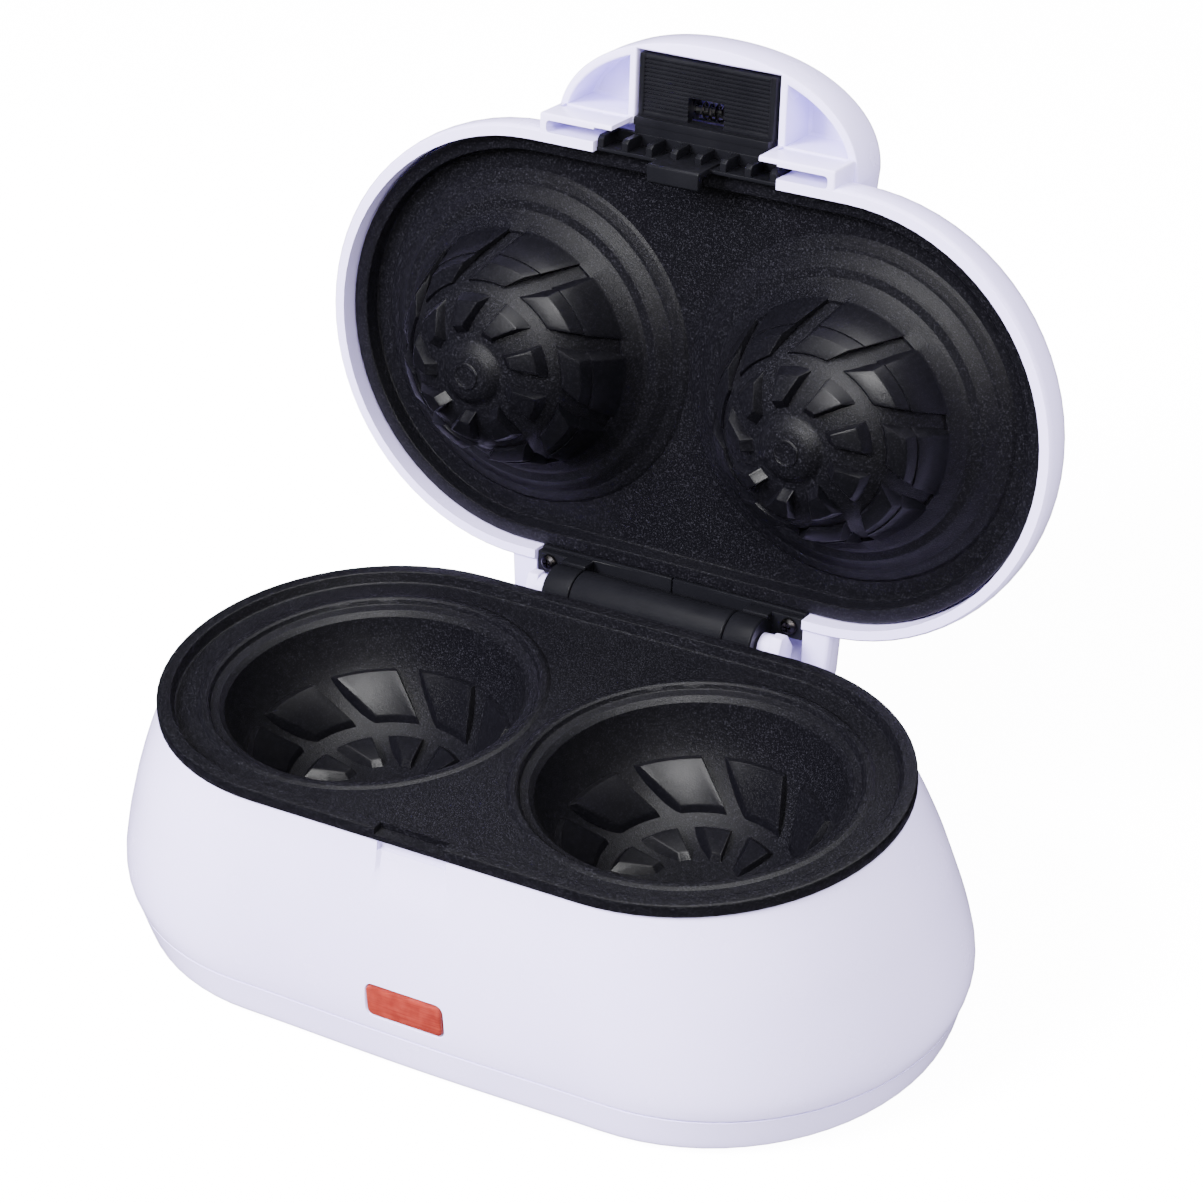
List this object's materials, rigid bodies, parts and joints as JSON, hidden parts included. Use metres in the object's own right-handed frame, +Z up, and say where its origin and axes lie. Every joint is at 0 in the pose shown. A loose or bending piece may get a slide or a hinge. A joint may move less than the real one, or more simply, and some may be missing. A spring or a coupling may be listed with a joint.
{
  "type": "double waffle bowl maker",
  "caption": "Countertop electric waffle-bowl maker: oval base with bowl moulds side by side, and a hinged domed lid with a latch in its handle, standing open.",
  "frame": {"origin": "middle of the open appliance's footprint box, on the surface that the feet stand on", "axes": "+X along the housing's length to the right seen from the front, +Y to the back where the hinge is, +Z up"},
  "size_m": [0.2952, 0.2286, 0.2657],
  "materials": {
    "white_plastic": "gloss lavender-white moulded plastic",
    "nonstick_black": "speckled black non-stick coating on cast aluminium",
    "black_plastic": "satin black heat-resistant plastic",
    "lens_red": "translucent red-orange lens",
    "bright_steel": "plated steel",
    "dark_steel": "blackened steel",
    "dull_aluminium": "pressed aluminium sheet",
    "rubber_grey": "matt rubber",
    "cream_plastic": "heat-resistant moulded plastic",
    "lamp_glass": "clear glass with an orange glow gas"
  },
  "bodies": {
    "base": {"base_housing": "white_plastic", "base_bottom_cover": "white_plastic", "rubber_foot_front_left": "rubber_grey", "rubber_foot_rear_left": "rubber_grey", "rubber_foot_front_right": "rubber_grey", "rubber_foot_rear_right": "rubber_grey", "bottom_screw_front_left": "bright_steel", "bottom_screw_rear_left": "bright_steel", "bottom_screw_front_right": "bright_steel", "bottom_screw_rear_right": "bright_steel", "lower_mould_plate": "nonstick_black", "lower_heating_element": "bright_steel", "lower_heat_shield": "dull_aluminium", "lower_shield_screw": "bright_steel", "thermostat": "cream_plastic", "thermal_fuse": "bright_steel", "terminal_block": "cream_plastic", "indicator_lens": "lens_red", "neon_lamp": "lamp_glass", "lamp_holder": "cream_plastic", "cable_gland": "black_plastic", "hinge_barrel": "black_plastic", "hinge_pin": "bright_steel"},
    "lid": {"lid_cover": "white_plastic", "upper_mould_plate": "nonstick_black", "upper_heating_element": "bright_steel", "upper_heat_shield": "dull_aluminium", "upper_shield_screw": "bright_steel", "hinge_knuckle_left": "black_plastic", "hinge_knuckle_right": "black_plastic", "hinge_screw_left": "dark_steel", "hinge_screw_right": "dark_steel", "latch_pin": "bright_steel", "latch_spring": "dark_steel"},
    "latch": {"latch_lever": "black_plastic"}
  },
  "joints": [
    {"name": "lid_hinge", "type": "hinge", "parent": "base", "child": "lid", "pos_m": [0, 0.04641, 0.0811], "axis": [1, 0, 0], "range_deg": [0, 99]},
    {"name": "latch_release", "type": "hinge", "parent": "lid", "child": "latch", "pos_m": [0, 0.09816, 0.24229], "axis": [-1, 0, 0], "range_deg": [0, 7], "stiffness_Nm_per_rad": 0.2, "springref_deg": -8.59}
  ]
}
